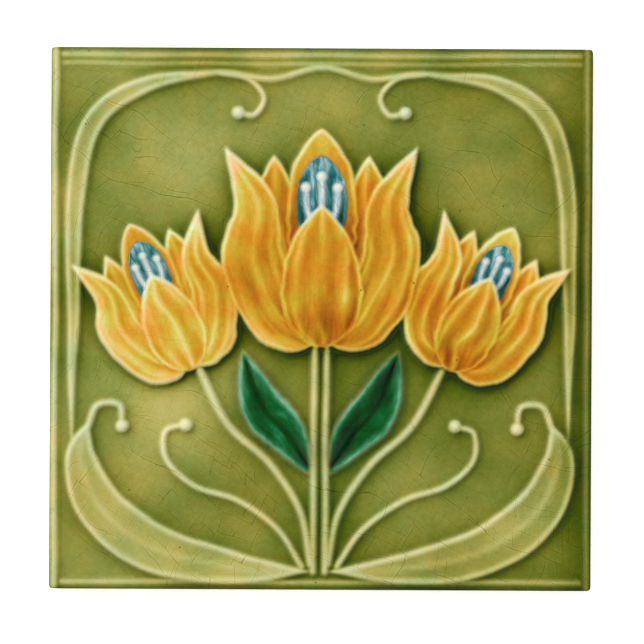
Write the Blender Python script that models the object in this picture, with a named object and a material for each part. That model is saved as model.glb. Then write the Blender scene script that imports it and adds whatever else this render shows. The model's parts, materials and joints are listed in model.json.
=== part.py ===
"""A square wall tile of glazed earthenware, pressed and fired as one piece.

A slab with broken arrises carries a spray of three tulips, their leaves and stems raised on its face, and
keying grooves are pressed into its back. Sizes below are in millimetres, and the model is in metres. The
origin is the centre of the back, +Z points out of the glazed face, and +Y to the top of the picture.
"""

import math
from dataclasses import dataclass, replace

import bmesh
import bpy
from mathutils import Vector

MM = 0.001

# The slab: its height is that of the ground, the flat field that the relief stands on
SIDE = 152.4
GROUND = 7.6
ARRIS = 0.8
ARRIS_STEPS = 2

# The grooves that key the back into its mortar
GROOVE_COUNT = 8
GROOVE_PITCH = 16.0
GROOVE_WIDTH = 7.0
GROOVE_DEPTH = 1.3
GROOVE_LENGTH = 134.0

# The raised lines, whose heights are above the ground
STEM_HALF_WIDTH = 1.3
STEM_RISE = 1.4
STEM_SPACING = 1.7
GARLAND_RISE = 1.1
FILLET_HALF_WIDTH = 1.25
FILLET_RISE = 1.0
FILLET_INSET = 1.75
KNOB_RADIUS = 1.9

# Every raised form is rooted this deep in the slab, and its points are blunted to this half width
ROOT = 0.8
LEAST_HALF_WIDTH = 0.3

# The tulips: where each is rooted, how far it leans outwards in degrees, and its share of full size
CENTRE_TULIP = ((0.0, -8.0), 0.0, 1.08)
SIDE_TULIP = ((36.0, -14.5), 24.0, 0.78)

# The glazes' colours, as linear red, green, blue and alpha
GLAZES = {
    "olive_glaze": (0.29, 0.31, 0.06, 1.0),
    "amber_glaze": (0.80, 0.38, 0.03, 1.0),
    "emerald_glaze": (0.01, 0.10, 0.03, 1.0),
}


@dataclass
class Blade:
    """A petal or a leaf, with a crowned middle and a raised rim inside its edge.

    lift is the height of its edge, and crown and rim are added to it. belly is the share of the spine at
    which it is widest. base and tip are powers: 0.5 makes that end round, and 1 makes it pointed.
    """

    spine: list
    half_width: float
    lift: float
    crown: float
    rim: float = 0.5
    belly: float = 0.45
    base: float = 0.5
    tip: float = 0.8
    steps: int = 12
    glaze: str = "amber_glaze"

    # Shares of the half width at which the cross-section has its points, with the rim next to the edges
    section = (-1.0, -0.84, -0.45, 0.0, 0.45, 0.84, 1.0)
    rim_from = 0.8

    def half_width_at(self, share):
        if share < self.belly:
            shape = (1 - (1 - share / self.belly) ** 2) ** self.base
        else:
            shape = (1 - ((share - self.belly) / (1 - self.belly)) ** 2) ** self.tip
        return max(self.half_width * shape, LEAST_HALF_WIDTH)

    def height_at(self, across):
        dome = math.sqrt(1 - across**2)
        rim = self.rim if self.rim_from < abs(across) < 1 else 0.0
        return self.lift + self.crown * dome + rim


@dataclass
class Rib:
    """A raised line, rounded across, with a half width at each end and a knob at its last point if asked."""

    spine: list
    start: float
    end: float
    rise: float = STEM_RISE
    steps: int = 14
    knob: bool = False
    glaze: str = "olive_glaze"

    section = (-1.0, -0.5, 0.0, 0.5, 1.0)
    edge_share = 0.15

    def half_width_at(self, share):
        return self.start + (self.end - self.start) * share

    def height_at(self, across):
        return self.rise * (self.edge_share + (1 - self.edge_share) * math.cos(across * math.pi / 2))


def clear_scene():
    for obj in list(bpy.data.objects):
        bpy.data.objects.remove(obj)


def glaze_material(name):
    material = bpy.data.materials.new(name)
    material.use_nodes = True
    shader = material.node_tree.nodes["Principled BSDF"]
    shader.inputs["Base Color"].default_value = GLAZES[name]
    shader.inputs["Roughness"].default_value = 0.12
    shader.inputs["Metallic"].default_value = 0.0
    return material


def new_object(name, mesh, material):
    data = bpy.data.meshes.new(name)
    mesh.to_mesh(data)
    mesh.free()
    data.materials.append(material)
    obj = bpy.data.objects.new(name, data)
    bpy.context.scene.collection.objects.link(obj)
    return obj


def new_helper(name, mesh, material):
    """An object that only shapes the tile, and isn't part of it."""
    obj = new_object(name, mesh, material)
    obj.hide_render = True
    obj.display_type = "WIRE"
    return obj


def spline_point(spine, share):
    """The point at that share of a smooth curve through the spine's points, and its direction there."""
    points = [Vector(point) for point in spine]
    points = [2 * points[0] - points[1], *points, 2 * points[-1] - points[-2]]
    spans = len(spine) - 1
    place = min(share * spans, spans - 1e-6)
    first = int(place)
    t = place - first
    before, start, end, after = points[first : first + 4]
    linear = end - before
    square = 2 * before - 5 * start + 4 * end - after
    cube = 3 * start - before - 3 * end + after
    point = (2 * start + linear * t + square * t**2 + cube * t**3) / 2
    slope = (linear + 2 * square * t + 3 * cube * t**2) / 2
    return point, slope.normalized()


def raised_form(name, form, material):
    """A closed form with a flat root: a sheet laid along the spine, and extruded down into the slab."""
    mesh = bmesh.new()
    spans = len(form.section) - 1
    bmesh.ops.create_grid(mesh, x_segments=form.steps, y_segments=spans, size=0.5)
    for vert in mesh.verts:
        share = (1 - math.cos((vert.co.x + 0.5) * math.pi)) / 2
        across = form.section[round((vert.co.y + 0.5) * spans)]
        point, direction = spline_point(form.spine, share)
        sideways = Vector((-direction.y, direction.x))
        place = point + sideways * form.half_width_at(share) * across
        vert.co = Vector((place.x, place.y, GROUND + form.height_at(across))) * MM
    made = bmesh.ops.extrude_face_region(mesh, geom=mesh.faces[:])
    for element in made["geom"]:
        if isinstance(element, bmesh.types.BMVert):
            element.co.z = (GROUND - ROOT) * MM
    bmesh.ops.recalc_face_normals(mesh, faces=mesh.faces[:])
    return new_helper(name, mesh, material)


def knob(name, place, material):
    """The round end of a curled line, a ball sunk to its middle in the ground."""
    mesh = bmesh.new()
    bmesh.ops.create_uvsphere(mesh, u_segments=10, v_segments=6, radius=KNOB_RADIUS * MM)
    bmesh.ops.translate(mesh, verts=mesh.verts[:], vec=Vector((place[0], place[1], GROUND)) * MM)
    return new_helper(name, mesh, material)


def mirrored(form):
    """The same form on the other side of the tile's upright centre line."""
    return replace(form, spine=[(-x, y) for x, y in form.spine])


def tulip(root, lean, scale):
    """The six petals of one tulip, the rearmost first."""
    cosine = math.cos(math.radians(lean))
    sine = math.sin(math.radians(lean))

    def at(points):
        return [
            (root[0] + scale * (x * cosine + y * sine), root[1] + scale * (y * cosine - x * sine))
            for x, y in points
        ]

    back = Blade(at([(0, 12), (0, 34), (0, 57)]), 9.6 * scale, 0.6, 0.3, belly=0.55, tip=0.7)
    petals = [back]
    for side in (1, -1):
        inner = at([(side * 3, 8), (side * 11, 28), (side * 12.5, 50)])
        petals.append(Blade(inner, 7.6 * scale, 0.5, 0.6))
    for side in (1, -1):
        outer = at([(side * 1.5, 1.5), (side * 12, 8), (side * 18, 23), (side * 17.5, 37), (side * 25, 52)])
        petals.append(Blade(outer, 8.2 * scale, 0.8, 1.1, belly=0.4, tip=0.9, steps=16))
    front = Blade(at([(0, 0), (0, 17), (0, 37)]), 11.0 * scale, 1.1, 1.1)
    petals.append(front)
    return petals


def leaves():
    """The leaves of the right half, which the left half mirrors."""
    lower = Blade(
        [(2, -71), (24, -70), (46, -65), (61, -54), (67, -40), (65, -29)],
        7.2, 0.5, 0.4, rim=0.7, belly=0.5, base=1.0, tip=0.9, steps=20, glaze="olive_glaze",
    )
    frame = Blade(
        [(69.6, -38), (69.8, -5), (69.1, 32), (63.9, 55.2), (49.3, 66), (27, 69)],
        3.0, 0.5, 0.2, rim=0.6, belly=0.6, base=1.0, tip=0.9, steps=22, glaze="olive_glaze",
    )
    emerald = Blade(
        [(1.5, -44), (9, -33), (16.5, -24), (22, -9)],
        6.6, 1.3, -0.7, belly=0.55, base=0.9, tip=1.0, glaze="emerald_glaze",
    )
    return [lower, frame, emerald]


def lines():
    """The curls, stems and tendrils of the right half, which the left half mirrors."""
    leaf_curl = Rib([(65.2, -31), (62.5, -24.5), (56.5, -24.5), (55.5, -30.5)], 1.3, 1.0, knob=True, steps=10)
    frame_curl = Rib([(29, 68.8), (21, 67.5), (16.5, 62.5), (19, 57.5), (23.5, 58)], 1.3, 1.0, knob=True)
    stem = Rib([(2.5, -69), (5.5, -54), (14, -41), (26, -30), (34, -14.5)], STEM_HALF_WIDTH, 1.5, steps=16)
    tendril = Rib(
        [(5, -69.5), (12, -59), (23, -51), (35, -47), (43, -40), (43.5, -32), (38, -30)],
        1.15, 0.9, knob=True, steps=20,
    )
    fillet_x = SIDE / 2 - FILLET_INSET
    fillet_y = SIDE / 2 - ARRIS
    side_fillet = Rib(
        [(fillet_x, -fillet_y), (fillet_x, fillet_y)],
        FILLET_HALF_WIDTH, FILLET_HALF_WIDTH, FILLET_RISE, steps=2,
    )
    centre_stem = Rib([(STEM_SPACING, -71), (STEM_SPACING, -6)], STEM_HALF_WIDTH, STEM_HALF_WIDTH, steps=2)
    return [leaf_curl, frame_curl, stem, tendril, side_fillet, centre_stem]


def relief_forms():
    """Every raised form on the face."""
    half = leaves() + lines() + tulip(*SIDE_TULIP)
    garland_spine = [(-27, 69.3), (-14, 67.6), (0, 70.6), (14, 67.6), (27, 69.3)]
    garland = Rib(garland_spine, 1.0, 1.0, GARLAND_RISE, steps=16)
    return half + [mirrored(form) for form in half] + [garland] + tulip(*CENTRE_TULIP)


def relief(materials):
    """The raised forms as closed helper solids, with the knobs that end some of the lines."""
    made = []
    for index, form in enumerate(relief_forms()):
        material = materials[form.glaze]
        made.append(raised_form(f"form_{index}", form, material))
        if isinstance(form, Rib) and form.knob:
            made.append(knob(f"knob_{index}", form.spine[-1], material))
    return made


def box_mesh(width, length, height, centre):
    mesh = bmesh.new()
    bmesh.ops.create_cube(mesh, size=MM)
    bmesh.ops.scale(mesh, verts=mesh.verts[:], vec=(width, length, height))
    bmesh.ops.translate(mesh, verts=mesh.verts[:], vec=Vector(centre) * MM)
    return mesh


def slab(material):
    """The body of the tile, with its arrises broken."""
    mesh = box_mesh(SIDE, SIDE, GROUND, (0, 0, GROUND / 2))
    bmesh.ops.bevel(
        mesh,
        geom=mesh.edges[:],
        offset=ARRIS * MM,
        offset_type="OFFSET",
        segments=ARRIS_STEPS,
        profile=0.5,
        affect="EDGES",
    )
    return new_object("tile", mesh, material)


def keying_grooves(material):
    """Cutters for the grooves, which run along X. Their even number leaves a land across the centre."""
    made = []
    for index in range(GROOVE_COUNT):
        y = (index - (GROOVE_COUNT - 1) / 2) * GROOVE_PITCH
        mesh = box_mesh(GROOVE_LENGTH, GROOVE_WIDTH, 2 * GROOVE_DEPTH, (0, y, 0))
        made.append(new_helper(f"groove_{index}", mesh, material))
    return made


def join(body, name, operation, helpers):
    """Cuts the helpers from the body, or fuses them to it, with one live Boolean."""
    group = bpy.data.collections.new(name)
    bpy.context.scene.collection.children.link(group)
    for helper in helpers:
        bpy.context.scene.collection.objects.unlink(helper)
        group.objects.link(helper)
    modifier = body.modifiers.new(name, "BOOLEAN")
    modifier.operation = operation
    modifier.operand_type = "COLLECTION"
    modifier.collection = group
    modifier.solver = "EXACT"
    modifier.material_mode = "TRANSFER"


def main():
    clear_scene()
    materials = {name: glaze_material(name) for name in GLAZES}
    olive = materials["olive_glaze"]
    tile = slab(olive)
    join(tile, "back_keying", "DIFFERENCE", keying_grooves(olive))
    join(tile, "face_relief", "UNION", relief(materials))


main()
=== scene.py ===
"""Dresses the wall tile: coloured lead glazes pooled over a moulded relief, on a buff biscuit body.

The relief is drawn in a fine map of the face from the same spines and sizes as the solid tile. The map
also says how thick each glaze lies, and the glaze's colour follows from its thickness. Sizes are in
millimetres unless a name says otherwise, and the finished mesh is in metres.
"""

from __future__ import annotations

import json
import logging
import math
from dataclasses import dataclass, field, replace
from enum import Enum

import bmesh
import bpy
import numpy as np
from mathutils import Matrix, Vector

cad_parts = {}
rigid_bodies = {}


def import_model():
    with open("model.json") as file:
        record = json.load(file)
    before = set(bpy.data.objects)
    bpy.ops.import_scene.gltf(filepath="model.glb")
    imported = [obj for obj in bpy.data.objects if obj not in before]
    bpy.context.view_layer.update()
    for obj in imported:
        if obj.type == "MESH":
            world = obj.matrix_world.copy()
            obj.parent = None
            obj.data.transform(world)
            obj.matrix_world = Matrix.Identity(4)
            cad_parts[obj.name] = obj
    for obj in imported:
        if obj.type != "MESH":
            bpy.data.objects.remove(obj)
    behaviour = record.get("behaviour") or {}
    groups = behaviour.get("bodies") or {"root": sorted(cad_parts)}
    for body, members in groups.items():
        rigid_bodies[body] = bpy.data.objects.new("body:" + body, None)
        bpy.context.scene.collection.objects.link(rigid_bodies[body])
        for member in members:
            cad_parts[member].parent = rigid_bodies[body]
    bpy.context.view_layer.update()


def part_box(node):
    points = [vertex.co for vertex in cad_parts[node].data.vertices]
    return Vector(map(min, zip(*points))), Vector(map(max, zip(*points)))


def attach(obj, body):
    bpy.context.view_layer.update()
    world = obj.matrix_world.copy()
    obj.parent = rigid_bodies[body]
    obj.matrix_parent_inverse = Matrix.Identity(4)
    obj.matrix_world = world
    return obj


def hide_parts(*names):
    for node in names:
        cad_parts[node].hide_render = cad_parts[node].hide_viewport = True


LOG = logging.getLogger("tile")
MM = 0.001
NODE = "tile"
GROUND = 7.6  # The thickness of the tile between its back and the field of its face.
LIGHT_LEVEL = 1.3  # How much brighter than white the studio's light shows white paper.
LATTICE = 64  # How many independent values a random field has each way, before it repeats.
DRAWN_LENGTH = 30.0  # The length that every blade's wavering is drawn over, whatever its own.
MIRROR_SEED = 40  # What is added to a blade's seed on the other side, so that the sides waver apart.

Point = tuple[float, float]
Colour = tuple[int, int, int]


class Pigment(Enum):
    """The coloured glazes that the face is painted with."""

    OLIVE = "olive"
    AMBER = "amber"
    TEAL = "teal"
    MILK = "milk"
    EMERALD = "emerald"


def linear(colour: Colour, light: float = 1.0) -> tuple[float, float, float, float]:
    """Turns a colour as a screen shows it into the linear colour that a shader takes.

    Args:
        colour: red, green and blue from 0 to 255.
        light: how brightly the surface is lit where it shows that colour.

    Returns:
        Linear red, green and blue, and a full alpha.
    """
    shares = [value / 255 for value in colour]
    lit = [share / 12.92 if share <= 0.04045 else ((share + 0.055) / 1.055) ** 2.4 for share in shares]
    return (*(value / light for value in lit), 1.0)


def ease(values: np.ndarray) -> np.ndarray:
    """Eases values from 0 to 1, and holds them at those ends.

    Args:
        values: the values.

    Returns:
        The eased values.
    """
    held = np.clip(values, 0, 1)
    return held * held * (3 - 2 * held)


def drift(x: np.ndarray, y: np.ndarray, size: float, seed: int) -> np.ndarray:
    """Makes a smooth random field, such as the wander of a hand-cut line.

    Args:
        x: where it is read, across.
        y: where it is read, upwards.
        size: the distance between its independent values.
        seed: which field of that size it is.

    Returns:
        Values from -1 to 1.
    """
    lattice = np.random.default_rng(seed).uniform(-1, 1, (LATTICE, LATTICE))
    column, row = np.floor(x / size).astype(int), np.floor(y / size).astype(int)
    right, up = ease(x / size - column), ease(y / size - row)
    column, row = column % LATTICE, row % LATTICE
    after, above = (column + 1) % LATTICE, (row + 1) % LATTICE
    low = lattice[row, column] * (1 - right) + lattice[row, after] * right
    high = lattice[above, column] * (1 - right) + lattice[above, after] * right
    return low * (1 - up) + high * up


def smooth_line(points: list[Point], per_span: int = 10) -> np.ndarray:
    """Rounds a spine into a smooth line of short straight steps, the same number on each span.

    Args:
        points: the points that the line passes through.
        per_span: how many steps lie between two of them.

    Returns:
        The line's points, one to a row.
    """
    knots = np.array(points, float)
    knots = np.vstack([2 * knots[0] - knots[1], knots, 2 * knots[-1] - knots[-2]])
    share = np.arange(per_span)[:, None] / per_span
    spans = []
    for before, start, end, after in zip(knots, knots[1:], knots[2:], knots[3:]):
        square = 2 * before - 5 * start + 4 * end - after
        cube = 3 * start - before - 3 * end + after
        spans.append((2 * start + (end - before) * share + square * share**2 + cube * share**3) / 2)
    return np.vstack([*spans, knots[-2]])


def fill_ramp(node: bpy.types.Node, stops: list[tuple[float, tuple[float, float, float, float]]]) -> None:
    """Fills a colour ramp.

    Args:
        node: the ramp's node.
        stops: pairs of a place, from 0 to 1, and the linear colour there.
    """
    elements = node.color_ramp.elements
    for _ in stops[2:]:
        elements.new(0.5)
    for element, (place, colour) in zip(elements, stops):
        element.position = place
        element.color = colour


def put_in_scene(name: str, data: bpy.types.ID) -> bpy.types.Object:
    """Makes an object and links it to the scene.

    Args:
        name: the object's name.
        data: its mesh, light or camera.

    Returns:
        The object.
    """
    made = bpy.data.objects.new(name, data)
    bpy.context.scene.collection.objects.link(made)
    return made


@dataclass
class Patch:
    """A window of the face map, and where each of its places lies along and across a line.

    along runs from 0 to 1 over the line, across is the signed distance to its left, and away the distance.
    """

    window: tuple[slice, slice]
    along: np.ndarray
    across: np.ndarray
    away: np.ndarray


@dataclass
class FaceMap:
    """A fine map of the tile's face, in which the relief is pressed and the pigments are laid."""

    half: float
    pitch: float = 0.2
    wander: float = 0.3
    wander_size: float = 17.0
    wander_seeds: tuple[int, int] = (11, 12)

    def __post_init__(self) -> None:
        """Lays out a bare, flat face."""
        count = round(2 * self.half / self.pitch) + 1
        self.ticks = np.linspace(-self.half, self.half, count)
        x, y = np.meshgrid(self.ticks, self.ticks)
        self.x = x + self.wander * drift(x, y, self.wander_size, self.wander_seeds[0])
        self.y = y + self.wander * drift(x, y, self.wander_size, self.wander_seeds[1])
        self.height = np.zeros((count, count))
        self.traits = {name: np.zeros((count, count)) for name in ("tone", "pool", "across", "along")}
        self.cover = {pigment: np.zeros((count, count)) for pigment in Pigment}
        self.cover[Pigment.OLIVE] += 1

    def along_line(self, line: np.ndarray, reach: float) -> Patch:
        """Finds the part of the map that lies near a line.

        Args:
            line: the line's points.
            reach: how far from the line the patch has to go.

        Returns:
            The patch, which is measured along and across the line.
        """
        margin = reach + self.wander
        low, high = line.min(0) - margin, line.max(0) + margin
        first, last = np.searchsorted(self.ticks, low), np.searchsorted(self.ticks, high)
        window = (slice(first[1], last[1]), slice(first[0], last[0]))
        x, y = self.x[window], self.y[window]
        along, across, away = np.zeros(x.shape), np.zeros(x.shape), np.full(x.shape, 1e9)
        steps = len(line) - 1
        for index, (start, end) in enumerate(zip(line, line[1:])):
            step = end - start
            length = math.hypot(*step)
            ahead, aside = step / length, np.array([-step[1], step[0]]) / length
            run = np.clip((x - start[0]) * ahead[0] + (y - start[1]) * ahead[1], 0, length)
            gap_x, gap_y = x - start[0] - run * ahead[0], y - start[1] - run * ahead[1]
            gap = np.hypot(gap_x, gap_y)
            nearer = gap < away
            away = np.where(nearer, gap, away)
            along = np.where(nearer, (index + run / length) / steps, along)
            across = np.where(nearer, np.sign(gap_x * aside[0] + gap_y * aside[1]) * gap, across)
        return Patch(window, along, across, away)

    def press(self, window: tuple[slice, slice], share: np.ndarray, height: np.ndarray) -> None:
        """Presses a form into the map.

        Args:
            window: the part of the map that is changed.
            share: how fully the form stands at each place, from 0 to 1.
            height: the form's height above the ground.
        """
        self.height[window] = self.height[window] * (1 - share) + height * share

    def paint(
        self, window: tuple[slice, slice], share: np.ndarray, pigment: Pigment, **traits: np.ndarray | float
    ) -> None:
        """Paints a glaze over what the map holds.

        Args:
            window: the part of the map that is changed.
            share: how fully the glaze covers each place, from 0 to 1.
            pigment: the glaze.
            traits: its tone, from 0 to 1, how much deeper it pools than elsewhere, and its place across and
                along the form, in millimetres. Each is 0 where it isn't given.
        """
        for name, layer in self.traits.items():
            layer[window] = layer[window] * (1 - share) + traits.get(name, 0.0) * share
        for other, cover in self.cover.items():
            cover[window] = cover[window] * (1 - share) + share * (other is pigment)

    def blurred(self, layer: np.ndarray, radius: float, shift: Point = (0.0, 0.0)) -> np.ndarray:
        """Blurs a layer of the map.

        Args:
            layer: the layer.
            radius: the blur's standard deviation.
            shift: how far the blurred layer is moved.

        Returns:
            The blurred layer.
        """
        margin = math.ceil((3 * radius + max(map(abs, shift))) / self.pitch)
        wide = np.pad(layer, margin, mode="edge")
        rows = np.fft.fftfreq(wide.shape[0], self.pitch)[:, None]
        columns = np.fft.rfftfreq(wide.shape[1], self.pitch)[None, :]
        spread = np.exp(-2 * (math.pi * radius) ** 2 * (rows**2 + columns**2))
        move = np.exp(-2j * math.pi * (columns * shift[0] + rows * shift[1]))
        soft = np.fft.irfft2(np.fft.rfft2(wide) * spread * move, s=wide.shape)
        return soft[margin:-margin, margin:-margin]

    def read(self, layer: np.ndarray, x: np.ndarray, y: np.ndarray) -> np.ndarray:
        """Reads a layer of the map between its places.

        Args:
            layer: the layer.
            x: where it is read, across.
            y: where it is read, upwards.

        Returns:
            The layer's values there.
        """
        last = len(self.ticks) - 1.001
        column = np.clip((x + self.half) / self.pitch, 0, last)
        row = np.clip((y + self.half) / self.pitch, 0, last)
        left, below = column.astype(int), row.astype(int)
        right, up = column - left, row - below
        low = layer[below, left] * (1 - right) + layer[below, left + 1] * right
        high = layer[below + 1, left] * (1 - right) + layer[below + 1, left + 1] * right
        return low * (1 - up) + high * up


@dataclass(frozen=True)
class Blade:
    """A petal or a leaf, with a crowned middle and a raised rim inside its edge.

    lift is the height of its edge, and crown and rim are added to it. belly is the share of the spine at
    which it is widest. base and tip are powers: 0.5 makes that end round, and 1 makes it pointed. margin is
    how far inside the edge its paint starts, and edge how softly. bare says how much thinner the glaze lies
    on its rim, and by the share crease_bare of that on the creases between its pleats. The creases fan out
    from its base, stray to the sides by up to the share crease_stray of its half width, and fade here and
    there to the share crease_least.
    """

    spine: list[Point]
    half_width: float
    lift: float
    crown: float
    rim: float = 0.62
    belly: float = 0.45
    bare: float = 0.0
    base: float = 0.5
    tip: float = 0.8
    pigment: Pigment = Pigment.AMBER
    rim_width: float = 0.64
    pleats: int = 0
    pleat_depth: float = 0.2
    crease_stray: float = 0.22
    crease_rise: float = 0.12
    vein: float = 0.0
    ruffle: float = 0.0
    wall: float = 1.4
    margin: float = 0.5
    pool: float = 0.0
    seed: int = 0
    edge: float = 0.5
    ruffle_size: float = 1.6
    crease_size: float = 8.0
    crease_fade: float = 2.4
    crease_sharpness: int = 6
    crease_bare: float = 0.7
    crease_shown: float = 0.6
    crease_varies: float = 0.9
    crease_least: float = 0.1
    crease_patch: float = 7.0
    vein_width: float = 0.9
    vein_fade: float = 2.0
    even_tone: float = 0.3
    base_tone: float = 0.7
    base_reach: float = 0.5
    brush_shift: float = 7.3

    def half_width_at(self, along: np.ndarray) -> np.ndarray:
        """Gives half the blade's width at each share of its spine.

        Args:
            along: the shares of the spine, from 0 to 1.

        Returns:
            Half the width there, in millimetres.
        """
        below = (1 - np.clip(1 - along / self.belly, 0, 1) ** 2) ** self.base
        above = (1 - np.clip((along - self.belly) / (1 - self.belly), 0, 1) ** 2) ** self.tip
        steady = np.zeros(along.shape)
        wavy = 1 + self.ruffle * drift(along * DRAWN_LENGTH, steady, self.ruffle_size, self.seed + 5)
        return self.half_width * np.where(along < self.belly, below, above) * wavy

    def mirrored(self) -> Blade:
        """The same blade on the other side of the upright centre line."""
        return replace(self, spine=[(-x, y) for x, y in self.spine], seed=self.seed + MIRROR_SEED)

    def tone_at(self, along: np.ndarray) -> np.ndarray:
        """Gives how deep the colour is at each share of the spine: deepest at the base."""
        near_base = np.clip(1 - along / self.base_reach, 0, 1)
        return self.even_tone * (1 - along) + self.base_tone * near_base ** 1.3

    def folds(self, section: np.ndarray, patch: Patch) -> np.ndarray:
        """Gives the pleats' height across the blade, from -1 in their hollows to 1 on the creases.

        Args:
            section: each place's share of the half width, from -1 to 1.
            patch: where each place lies along and across the spine.

        Returns:
            The height, all 0 where the blade has no pleats.
        """
        if not self.pleats:
            return np.zeros(section.shape)
        drawn = patch.along * DRAWN_LENGTH
        stray = self.crease_stray * drift(drawn, 0.7 * patch.across, self.crease_size, self.seed + 11)
        return np.cos((section + stray) * math.pi * self.pleats)

    def press(self, face: FaceMap) -> None:
        """Presses the blade into the map, and paints it up to the crest of its rim.

        Args:
            face: the map of the face.
        """
        line = smooth_line(self.spine)
        patch = face.along_line(line, self.half_width + 3)
        width = self.half_width_at(patch.along)
        inside = width - patch.away
        section = np.clip(patch.across / np.maximum(width, 0.3), -1, 1)
        height = self.lift + self.crown * np.sqrt(1 - section**2)
        on_rim = np.exp(-(((inside - self.rim_width) / self.rim_width) ** 2))
        height = height + self.rim * on_rim
        vein = np.exp(-((patch.across / self.vein_width) ** 2))
        height = height + self.vein * vein * ease(inside / self.vein_fade)
        fold = self.folds(section, patch) * ease(inside / self.crease_fade)
        varies = drift(patch.along * DRAWN_LENGTH, patch.across, self.crease_patch, self.seed + 13)
        shown = np.clip(self.crease_shown + self.crease_varies * varies, self.crease_least, 1)
        crease = np.clip(fold, 0, 1) ** self.crease_sharpness * shown
        height = height + self.pleat_depth * fold + self.crease_rise * crease
        face.press(patch.window, ease(inside / self.wall + 0.5), height)
        face.paint(
            patch.window,
            ease((inside - self.margin) / self.edge + 0.5),
            self.pigment,
            tone=self.tone_at(patch.along),
            pool=self.pool - self.bare * np.maximum(on_rim, self.crease_bare * crease),
            across=patch.across + self.brush_shift * self.seed,
            along=patch.along * np.hypot(*np.diff(line, axis=0).T).sum(),
        )


@dataclass(frozen=True)
class Rib:
    """A raised line, rounded across, with a half width at each end, which may end in a knob.

    foot is how far its sides run out at the ground, and edge how softly its paint ends.
    """

    spine: list[Point]
    start: float
    end: float
    rise: float = 1.4
    knob: float = 0.0
    pigment: Pigment = Pigment.OLIVE
    ground: float = 0.0
    pool: float = 0.0
    foot: float = 0.35
    edge: float = 0.5
    knob_bare: float = 0.12
    knob_fullness: float = 0.95
    brush_shift: float = 5.1

    def mirrored(self) -> Rib:
        """The same line on the other side of the upright centre line."""
        return replace(self, spine=[(-x, y) for x, y in self.spine])

    def press(self, face: FaceMap) -> None:
        """Presses the line into the map, and its knob after it.

        Args:
            face: the map of the face.
        """
        line = smooth_line(self.spine)
        patch = face.along_line(line, max(self.start, self.end) + 2)
        width = self.start + (self.end - self.start) * patch.along
        round_section = ease(1 - patch.away / (width + self.foot))
        under = face.height[patch.window]
        height = np.maximum(under, self.ground + self.rise * round_section)
        share = ease((width - patch.away) / self.edge + 0.5)
        face.press(patch.window, ease((width + self.foot - patch.away) / self.edge), height)
        across = patch.across + self.brush_shift * self.start * self.spine[0][1]
        along = patch.along * np.hypot(*np.diff(line, axis=0).T).sum()
        face.paint(patch.window, share, self.pigment, pool=self.pool, across=across, along=along)
        if self.knob:
            self.press_knob(face)

    def press_knob(self, face: FaceMap) -> None:
        """Presses the round end of the line.

        Args:
            face: the map of the face.
        """
        end = np.array([self.spine[-1], self.spine[-1]], float) + [[0, 0], [0.01, 0]]
        patch = face.along_line(end, self.knob + 1)
        dome = np.sqrt(np.clip(1 - (patch.away / self.knob) ** 2 * self.knob_fullness, 0, 1))
        share = ease((self.knob - patch.away) / self.edge + 0.5)
        face.press(patch.window, share, self.ground + self.knob * dome)
        face.paint(patch.window, share, self.pigment, pool=self.pool - self.knob_bare)


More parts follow.
